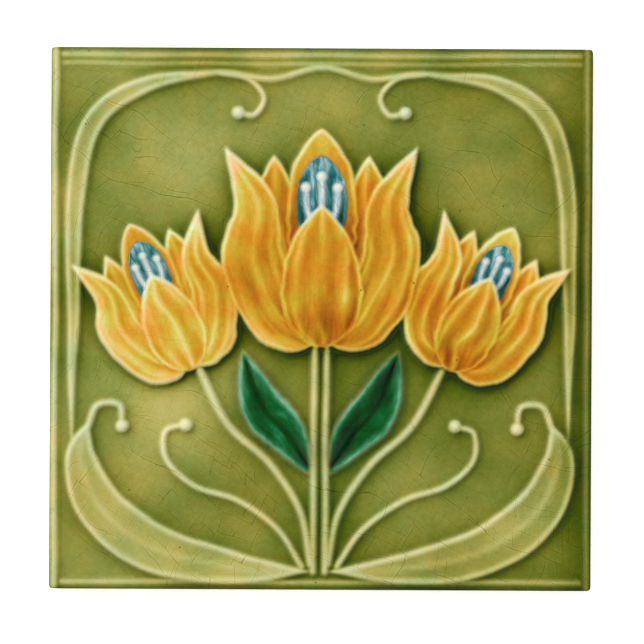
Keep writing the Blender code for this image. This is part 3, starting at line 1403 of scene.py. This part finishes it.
    def flamed(self, bench: Workbench, depth: object, tone: object) -> bpy.types.NodeSocket:
        """Deepens the amber glaze towards each petal's base, in flames and fine streaks along it.

        Args:
            bench: the material.
            depth: how deep the glaze lies.
            tone: how near to the petal's base each point is.

        Returns:
            The depth that its colour is read at.
        """
        stronger = bench.scaled(tone, 0.0, 0.7, 0.6, 1.5)
        flames = bench.times(self.brushed(bench, across=3.6, along=20.0), stronger)
        fibres = bench.times(self.brushed(bench, across=0.6, along=7.0), self.fibre_depth)
        deepened = bench.plus(depth, bench.scaled(tone, 0.0, 1.0, -0.12, 0.5))
        return bench.plus(bench.plus(deepened, flames), fibres)

    def flushed(self, bench: Workbench, colour: object, place: object) -> bpy.types.NodeSocket:
        """Drifts the amber between a clear yellow and a redder orange.

        Args:
            bench: the material.
            colour: the amber glaze's colour.
            place: each point's place in millimetres.

        Returns:
            The colour's socket.
        """
        patches = bench.clouds(place, size=9.0, detail=3.0, roughness=0.55)
        yellow = bench.blend(1.0, colour, linear(self.yellow), "MULTIPLY")
        red = bench.blend(1.0, colour, linear(self.red), "MULTIPLY")
        return bench.blend(bench.scaled(patches, 0.36, 0.64), yellow, red)

    def tinted(self, bench: Workbench, colour: object, place: object) -> bpy.types.NodeSocket:
        """Drifts the ground between a browner and a cooler green, and stains crests and slopes in places.

        Args:
            bench: the material.
            colour: the olive glaze's colour.
            place: each point's place in millimetres.

        Returns:
            The colour's socket.
        """
        patches = bench.clouds(place, size=15.0, detail=2.0, roughness=0.5)
        brown = bench.blend(1.0, colour, linear(self.brown), "MULTIPLY")
        cool = bench.blend(1.0, colour, linear(self.cool), "MULTIPLY")
        drifted = bench.blend(bench.scaled(patches, 0.35, 0.65), brown, cool)
        spots = bench.clouds(place, size=11.0, detail=3.0, roughness=0.6)
        crest = bench.scaled(bench.attribute("depth"), 0.2, -0.3)
        share = bench.times(bench.scaled(spots, 0.52, 0.7, 0.0, 0.6), crest)
        stained = bench.blend(share, drifted, linear(self.buff, LIGHT_LEVEL))
        smears = bench.clouds(bench.sum(place, (0.0, 0.0, 90.0)), size=16.0, detail=3.0, roughness=0.6)
        from_slope = bench.maths("ABSOLUTE", bench.minus(bench.attribute("depth"), 0.12))
        slope = bench.scaled(from_slope, 0.2, 0.05)
        smeared = bench.times(bench.scaled(smears, 0.52, 0.66, 0.0, 0.5), slope)
        return bench.blend(smeared, stained, linear(self.ochre, LIGHT_LEVEL))

    def glazed_share(self, bench: Workbench, place: bpy.types.NodeSocket) -> bpy.types.NodeSocket:
        """Says where glaze covers the clay: all of the face, and ragged runs down the sides.

        Args:
            bench: the material.
            place: each point's place in millimetres.

        Returns:
            How fully it is glazed, from 0 to 1.
        """
        height = bench.parts(place)[2]
        runs = bench.clouds(bench.stretched(place, (1.0, 1.0, 0.25)), size=7.0, detail=2.0, roughness=0.45)
        edge = bench.scaled(runs, 0.3, 0.72, *self.run_edge)
        return bench.scaled(bench.minus(height, edge), -0.12, 0.2)

    def clay_colour(self, bench: Workbench, place: bpy.types.NodeSocket) -> bpy.types.NodeSocket:
        """Makes the buff biscuit, a little stained.

        Args:
            bench: the material.
            place: each point's place in millimetres.

        Returns:
            The colour's socket.
        """
        stains = bench.clouds(place, size=9.0, detail=4.0, roughness=0.65)
        grain = bench.clouds(place, size=0.7, detail=2.0)
        clay, stain = linear(self.clay, LIGHT_LEVEL), linear(self.stain, LIGHT_LEVEL)
        colour = bench.blend(bench.scaled(stains, 0.45, 0.75), clay, stain)
        return bench.blend(bench.scaled(grain, 0.55, 0.7, 0.0, 0.35), colour, stain)

    def cracked(
        self, bench: Workbench, colour: object, cracks: object, highlight: object
    ) -> bpy.types.NodeSocket:
        """Darkens the colour in the cracks and paints a highlight beside them, both least on the painted
        glazes.

        Args:
            bench: the material.
            colour: the glazes' colour.
            cracks: how strongly a crack shows.
            highlight: how strongly the painted highlight beside a crack shows.

        Returns:
            The colour's socket.
        """
        painted = bench.maths("ADD", bench.attribute("amber"), bench.attribute("emerald"), clamp=True)
        seen = bench.scaled(painted, 0.0, 1.0, 1.0, 0.3)
        highlighted = bench.times(highlight, bench.scaled(painted, 0.0, 1.0, 0.6, 0.0))
        # Painted highlight: lightens the glaze beside each crack.
        lit = bench.blend(highlighted, colour, self.crack_highlight, "MULTIPLY")
        dark = bench.blend(1.0, colour, linear(self.crack_shade), "MULTIPLY")
        return bench.blend(bench.times(cracks, seen), lit, dark)

    def make(self) -> bpy.types.Material:
        """Makes the material.

        Returns:
            The finished material.
        """
        bench = Workbench("majolica_glaze")
        place = bench.place()
        glazed = self.glazed_share(bench, place)
        cracks, highlight = self.crazing(bench, place)
        specks = self.specks(bench, place)
        colour = self.cracked(bench, self.glaze_colour(bench, place), cracks, highlight)
        pitted = bench.times(specks, self.pit_strength)
        colour = bench.blend(pitted, colour, linear(self.speck, LIGHT_LEVEL))
        colour = bench.blend(glazed, self.clay_colour(bench, place), colour)
        bench.feed(bench.shader.inputs["Base Color"], colour)
        smears = bench.clouds(place, size=12.0, detail=3.0)
        gloss = bench.scaled(smears, 0.35, 0.7, self.roughness * 0.7, self.roughness * 1.5)
        dull = bench.minus(1.0, glazed)
        duller = bench.times(dull, self.clay_roughness - self.roughness)
        rough = bench.plus(gloss, duller)
        bench.feed(bench.shader.inputs["Roughness"], rough)
        bench.shader.inputs["IOR"].default_value = self.refraction
        bench.shader.inputs["Specular IOR Level"].default_value = self.gloss_level
        bench.feed(bench.shader.inputs["Normal"], self.relief(bench, place, glazed, cracks, specks))
        return bench.material

    def relief(
        self, bench: Workbench, place: object, glazed: object, cracks: object, specks: object
    ) -> bpy.types.NodeSocket:
        """Makes the finest relief: the glaze's skin, its cracks and pinholes, and the clay's grain.

        Args:
            bench: the material.
            place: each point's place in millimetres.
            glazed: how fully each point is glazed.
            cracks: how strongly a crack shows.
            specks: how strongly a pinhole shows.

        Returns:
            The normal's socket.
        """
        skin = bench.clouds(place, size=5.0, detail=2.0)
        grain = bench.clouds(place, size=0.5, detail=4.0, roughness=0.7)
        swelling = bench.times(skin, self.skin_height)
        opening = bench.times(cracks, self.crack_height)
        pits = bench.times(specks, self.pit_height)
        glaze = bench.plus(bench.plus(swelling, opening), pits)
        bare = bench.minus(1.0, glazed)
        rough = bench.times(bench.times(grain, self.clay_height), bare)
        lip = bench.times(glazed, self.lip_height)
        return bench.bump(bench.plus(bench.plus(glaze, rough), lip))


@dataclass
class TileBody:
    """The fired tile: its glazed relief face, its sides, and its back with the keying grooves.

    finer says what share of the faces is divided at each of the three steps, the busiest first. The turns
    are the angles at which the rounded edges have a line. The back has lines at the foot, the middle and
    the head of each groove's slopes, and land_lines of them across the land up to land_reach.
    """

    coat: GlazeCoat
    half: float
    ground: float
    arris: float = 0.6
    corner: float = 0.85
    cells: int = 64
    finer: tuple[float, ...] = (0.8, 0.58, 0.34)
    back_arris: float = 0.6
    groove_count: int = 8
    groove_pitch: float = 16.0
    groove_width: float = 7.0
    groove_depth: float = 1.3
    groove_length: float = 134.0
    groove_slope: float = 1.1
    groove_middle_bend: float = 0.45
    groove_end_slope: float = 1.2
    land_reach: float = 54.0
    land_lines: int = 10
    arris_turns: tuple[int, ...] = (30, 60, 90)
    back_turns: tuple[int, ...] = (45, 90)
    wall_heights: tuple[float, ...] = (6.0, 4.4, 2.6)
    wall_hollow: float = 0.05
    wall_hollow_size: float = 9.0
    wall_seed: int = 31
    finish: MajolicaFinish = MajolicaFinish()

    def on_outline(self, x: float, y: float, inset: float) -> tuple[float, float]:
        """Moves a point near the edge to the rounded square that lies that far inside the outline.

        Args:
            x: the point's place across.
            y: the point's place upwards.
            inset: how far inside the outline it should lie.

        Returns:
            Its new place.
        """
        core = self.half - self.corner
        over_x, over_y = max(abs(x) - core, 0.0), max(abs(y) - core, 0.0)
        reach = math.hypot(over_x, over_y)
        stretch = (self.corner - inset) / max(reach, 1e-6)
        new_x = math.copysign(min(abs(x), core) + over_x * stretch, x)
        new_y = math.copysign(min(abs(y), core) + over_y * stretch, y)
        return new_x, new_y

    def face_sheet(self) -> bmesh.types.BMesh:
        """Makes the glazed face as a sheet that is finer where the relief bends.

        Returns:
            The sheet, in millimetres.
        """
        mesh = bmesh.new()
        inner = self.half - self.arris
        bmesh.ops.create_grid(mesh, x_segments=self.cells, y_segments=self.cells, size=inner)
        busy = self.coat.busyness()
        cell = 2 * inner / self.cells
        for level, share in enumerate(self.finer):
            faces = mesh.faces[:]
            centres = np.array([face.calc_center_median()[:2] for face in faces])
            bend = self.coat.face.read(self.coat.face.blurred(busy, cell / 3), centres[:, 0], centres[:, 1])
            chosen = np.argsort(-bend, kind="stable")[: round(share * len(faces))]
            edges = {edge for index in chosen for edge in faces[index].edges}
            if level == len(self.finer) - 1:
                edges = {edge for edge in edges if not edge.is_boundary}
            ordered = sorted(edges, key=lambda edge: edge.index)
            bmesh.ops.subdivide_edges(mesh, edges=ordered, cuts=1, use_grid_fill=True)
            mesh.edges.index_update()
            cell /= 2
        for vert in mesh.verts:
            if vert.is_boundary:
                vert.co.x, vert.co.y = self.on_outline(vert.co.x, vert.co.y, self.arris)
        places = np.array([vert.co[:2] for vert in mesh.verts])
        heights = self.coat.face.read(self.coat.surface, places[:, 0], places[:, 1])
        for vert, height in zip(mesh.verts, heights):
            vert.co.z = self.ground + height
        return mesh

    def next_ring(self, mesh: bmesh.types.BMesh, ring: list, inset: float) -> tuple[list, list]:
        """Extrudes an open edge of the mesh, and sets the new edge that far inside the outline.

        Args:
            mesh: the mesh.
            ring: the edges that are extruded.
            inset: how far inside the outline the new ring lies.

        Returns:
            The new ring's edges and its points.
        """
        made = bmesh.ops.extrude_edge_only(mesh, edges=ring)["geom"]
        verts = [item for item in made if isinstance(item, bmesh.types.BMVert)]
        edges = [item for item in made if isinstance(item, bmesh.types.BMEdge) and item.is_boundary]
        for vert in verts:
            vert.co.x, vert.co.y = self.on_outline(vert.co.x, vert.co.y, inset)
        return edges, verts

    def add_sides(self, mesh: bmesh.types.BMesh) -> list:
        """Rolls the face over its arris, and runs it down the sides.

        Args:
            mesh: the mesh, which so far is the face.

        Returns:
            The edges of the sides' open lower end.
        """
        ring = [edge for edge in mesh.edges if edge.is_boundary]
        foot = self.ground - self.arris
        last = 1.0
        for angle in self.arris_turns:
            turn = math.radians(angle)
            ring, verts = self.next_ring(mesh, ring, self.arris * (1 - math.sin(turn)))
            for vert in verts:
                vert.co.z = foot + (vert.co.z - foot) * math.cos(turn) / last
            last = math.cos(turn)
        for level, height in enumerate(self.wall_heights):
            ring, verts = self.next_ring(mesh, ring, 0.0)
            x = np.array([vert.co.x for vert in verts])
            y = np.array([vert.co.y for vert in verts])
            waves = drift(x, y, self.wall_hollow_size, self.wall_seed + level)
            hollows = self.wall_hollow + self.wall_hollow * waves
            for vert, hollow in zip(verts, hollows):
                vert.co.x, vert.co.y = self.on_outline(vert.co.x, vert.co.y, hollow)
                vert.co.z = height
        return ring

    def groove_stations(self) -> tuple[list[float], list[float]]:
        """Lists where the back needs its lines: at its edges, and at the bends of the grooves.

        Returns:
            The places across and upwards.
        """
        edge = self.half - self.back_arris
        slope, bend, rounding = self.groove_slope, self.groove_middle_bend, self.groove_end_slope / 2
        left, right = (
            [end + shift for shift in (-slope, -rounding, 0.0, rounding, slope)]
            for end in (-self.groove_length / 2, self.groove_length / 2)
        )
        land = list(np.linspace(-self.land_reach, self.land_reach, self.land_lines))
        across = [-edge, *left, *land, *right, edge]
        side = self.groove_width / 2
        shifts = (-side, bend - side, slope - side, 0.0, side - slope, side - bend, side)
        upwards = [-edge]
        for index in range(self.groove_count):
            middle = (index - (self.groove_count - 1) / 2) * self.groove_pitch
            upwards += [middle + shift for shift in shifts]
        upwards.append(edge)
        return across, upwards

    def back_sheet(self) -> bmesh.types.BMesh:
        """Makes the back as a sheet with the keying grooves pressed into it.

        Returns:
            The sheet, in millimetres.
        """
        mesh = bmesh.new()
        across, upwards = self.groove_stations()
        columns, rows = len(across) - 1, len(upwards) - 1
        bmesh.ops.create_grid(mesh, x_segments=columns, y_segments=rows, size=0.5)
        side = self.groove_width / 2
        for vert in mesh.verts:
            x = across[round((vert.co.x + 0.5) * columns)]
            y = upwards[round((vert.co.y + 0.5) * rows)]
            place = y / self.groove_pitch + self.groove_count / 2
            from_middle = abs(place - math.floor(place) - 0.5) * self.groove_pitch
            from_end = self.groove_length / 2 + self.groove_end_slope / 2 - abs(x)
            inside = min((side - from_middle) / self.groove_slope, from_end / self.groove_end_slope)
            within = 0 <= place <= self.groove_count
            vert.co = Vector((x, y, self.groove_depth * float(ease(np.array(inside))) * within))
        for vert in mesh.verts:
            if vert.is_boundary:
                vert.co.x, vert.co.y = self.on_outline(vert.co.x, vert.co.y, self.back_arris)
        return mesh

    def add_back(self, mesh: bmesh.types.BMesh, lower_ring: list) -> None:
        """Closes the tile with its back.

        Args:
            mesh: the face and sides.
            lower_ring: the edges of the sides' open lower end.
        """
        sheet = self.back_sheet()
        carrier = bpy.data.meshes.new("back")
        sheet.to_mesh(carrier)
        sheet.free()
        before = set(mesh.edges)
        mesh.from_mesh(carrier)
        bpy.data.meshes.remove(carrier)
        ring = [edge for edge in mesh.edges if edge.is_boundary and edge not in before]
        for angle in self.back_turns:
            turn = math.radians(angle)
            ring, verts = self.next_ring(mesh, ring, self.back_arris * (1 - math.sin(turn)))
            for vert in verts:
                vert.co.z = self.back_arris * (1 - math.cos(turn))
        bmesh.ops.bridge_loops(mesh, edges=[*lower_ring, *ring])

    def carry_layers(self, data: bpy.types.Mesh) -> None:
        """Stores what the glaze does at each point of the mesh, for the material to read.

        Args:
            data: the mesh, in metres.
        """
        places = np.empty(len(data.vertices) * 3, np.float32)
        data.vertices.foreach_get("co", places)
        places = places.reshape(-1, 3) / MM
        for name, layer in self.coat.layers.items():
            values = self.coat.face.read(layer, places[:, 0], places[:, 1])
            attribute = data.attributes.new(name, "FLOAT", "POINT")
            attribute.data.foreach_set("value", values.astype(np.float32))

    def build(self) -> bpy.types.Object:
        """Builds the whole tile as one closed mesh and dresses it.

        Returns:
            The tile.
        """
        mesh = self.face_sheet()
        lower_ring = self.add_sides(mesh)
        self.add_back(mesh, lower_ring)
        bmesh.ops.scale(mesh, verts=mesh.verts[:], vec=(MM, MM, MM))
        bmesh.ops.recalc_face_normals(mesh, faces=mesh.faces[:])
        data = bpy.data.meshes.new("glazed_tile")
        mesh.to_mesh(data)
        mesh.free()
        data.shade_smooth()
        self.carry_layers(data)
        data.materials.append(self.finish.make())
        return put_in_scene("glazed_tile", data)


@dataclass(frozen=True)
class SoftPanel:
    """A large soft light that faces the tile, polarised so that it lights the glaze without a glare."""

    name: str
    place: tuple[float, float, float]
    side: float
    power: float

    def hang(self) -> None:
        """Hangs the panel in its place."""
        light = bpy.data.lights.new(self.name, "AREA")
        light.shape = "SQUARE"
        light.size = self.side
        light.energy = self.power
        panel = put_in_scene(self.name, light)
        panel.location = self.place
        panel.rotation_euler = (-Vector(self.place)).to_track_quat("-Z", "Y").to_euler()
        panel.visible_camera = False
        panel.visible_glossy = False


@dataclass
class Studio:
    """A luminous white table in a white tent, with the camera straight above it, framed as in the photo.

    tent_shades pairs the sine of each elevation with how light the tent is there. It is dark overhead,
    where the flat glaze would mirror it for the camera, and greyer low down, where it would for a camera
    at the side. tent_lean says how much lighter it is towards each axis, and the pixels frame the tile.
    """

    tile_side: float
    photo_pixels: float = 644.0
    tile_pixels: float = 537.5
    offset_pixels: Point = (1.0, -3.0)
    roll: float = 0.3
    distance: float = 0.9
    sensor_width: float = 36.0
    far_end: float = 50.0
    table_side: float = 8.0
    table_glow: float = 0.4
    table_colour: Colour = (245, 245, 244)
    panels: tuple[SoftPanel, ...] = (
        SoftPanel("key_panel", (-1.15, 1.05, 1.6), 1.8, 42.0),
        SoftPanel("fill_panel", (1.3, -1.0, 1.5), 1.6, 14.0),
    )
    tent_strength: float = 0.95
    tent_lean: tuple[float, float, float] = (-0.2, 0.2, 0.0)
    tent_shades: tuple[tuple[float, float], ...] = (
        (-0.08, 0.05),
        (-0.06, 1.0),
        (0.07, 1.0),
        (0.14, 0.25),
        (0.4, 0.25),
        (0.56, 1.0),
        (0.86, 1.0),
        (0.95, 0.05),
    )

    def add_table(self) -> None:
        """Lays the table, which isn't part of the tile."""
        mesh = bmesh.new()
        bmesh.ops.create_grid(mesh, x_segments=1, y_segments=1, size=self.table_side / 2)
        data = bpy.data.meshes.new("table")
        mesh.to_mesh(data)
        mesh.free()
        bench = Workbench("white_table")
        bench.shader.inputs["Base Color"].default_value = linear(self.table_colour)
        bench.shader.inputs["Roughness"].default_value = 1.0
        bench.shader.inputs["Specular IOR Level"].default_value = 0.0
        bench.shader.inputs["Emission Color"].default_value = (1.0, 1.0, 1.0, 1.0)
        bench.shader.inputs["Emission Strength"].default_value = self.table_glow
        data.materials.append(bench.material)
        table = put_in_scene("table", data)
        table.visible_glossy = False

    def add_tent(self) -> None:
        """Surrounds the scene with a tent of pale rings, a little brighter on the key panel's side."""
        world = bpy.data.worlds.new("tent")
        bpy.context.scene.world = world
        world.use_nodes = True
        tree = world.node_tree
        background = tree.nodes["Background"]
        ahead = tree.nodes.new("ShaderNodeTexCoord").outputs["Generated"]
        parts = tree.nodes.new("ShaderNodeSeparateXYZ")
        tree.links.new(ahead, parts.inputs[0])
        shade = tree.nodes.new("ShaderNodeValToRGB")
        share = tree.nodes.new("ShaderNodeMapRange")
        share.inputs["From Min"].default_value = -1.0
        tree.links.new(parts.outputs[2], share.inputs["Value"])
        tree.links.new(share.outputs[0], shade.inputs[0])
        fill_ramp(shade, [((height + 1) / 2, (grey, grey, grey, 1.0)) for height, grey in self.tent_shades])
        tree.links.new(shade.outputs[0], background.inputs["Color"])
        lean = tree.nodes.new("ShaderNodeVectorMath")
        lean.operation = "DOT_PRODUCT"
        tree.links.new(ahead, lean.inputs[0])
        lean.inputs[1].default_value = self.tent_lean
        strength = tree.nodes.new("ShaderNodeMath")
        strength.operation = "MULTIPLY_ADD"
        tree.links.new(lean.outputs["Value"], strength.inputs[0])
        strength.inputs[1].default_value = self.tent_strength
        strength.inputs[2].default_value = self.tent_strength
        tree.links.new(strength.outputs[0], background.inputs["Strength"])

    def add_camera(self) -> None:
        """Points a long lens straight down, framed as in the photograph."""
        data = bpy.data.cameras.new("camera")
        view_width = self.tile_side * self.photo_pixels / self.tile_pixels
        data.sensor_width = self.sensor_width
        data.lens = self.sensor_width * self.distance / view_width
        data.clip_end = self.far_end
        camera = put_in_scene("camera", data)
        pixel = view_width / self.photo_pixels
        camera.location = (self.offset_pixels[0] * pixel, self.offset_pixels[1] * pixel, self.distance)
        camera.rotation_euler = (0.0, 0.0, math.radians(self.roll))
        bpy.context.scene.camera = camera

    def build(self) -> None:
        """Sets the whole stage."""
        self.add_table()
        for panel in self.panels:
            panel.hang()
        self.add_tent()
        self.add_camera()
        bpy.context.scene.view_settings.view_transform = "Standard"


def main() -> None:
    """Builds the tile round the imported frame, and the stage that it lies on."""
    logging.basicConfig(level=logging.INFO, format="%(message)s")
    for obj in list(bpy.data.objects):
        bpy.data.objects.remove(obj)
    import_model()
    low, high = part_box(NODE)
    half = high.x / MM
    face = FaceMap(half)
    Relief(half).press(face)
    LOG.info("relief pressed, up to %.2f mm", face.height.max())
    coat = GlazeCoat(face, top=high.z / MM - GROUND)
    coat.settle()
    LOG.info("glaze settled, up to %.2f mm", coat.surface.max())
    body = TileBody(coat, half, GROUND)
    tile = body.build()
    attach(tile, "root")
    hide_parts(NODE)
    LOG.info("%s: %d faces", tile.name, len(tile.data.polygons))
    Studio(tile_side=high.x - low.x).build()
    LOG.info("stage set")
    bpy.context.view_layer.update()


if __name__ == "__main__":
    main()
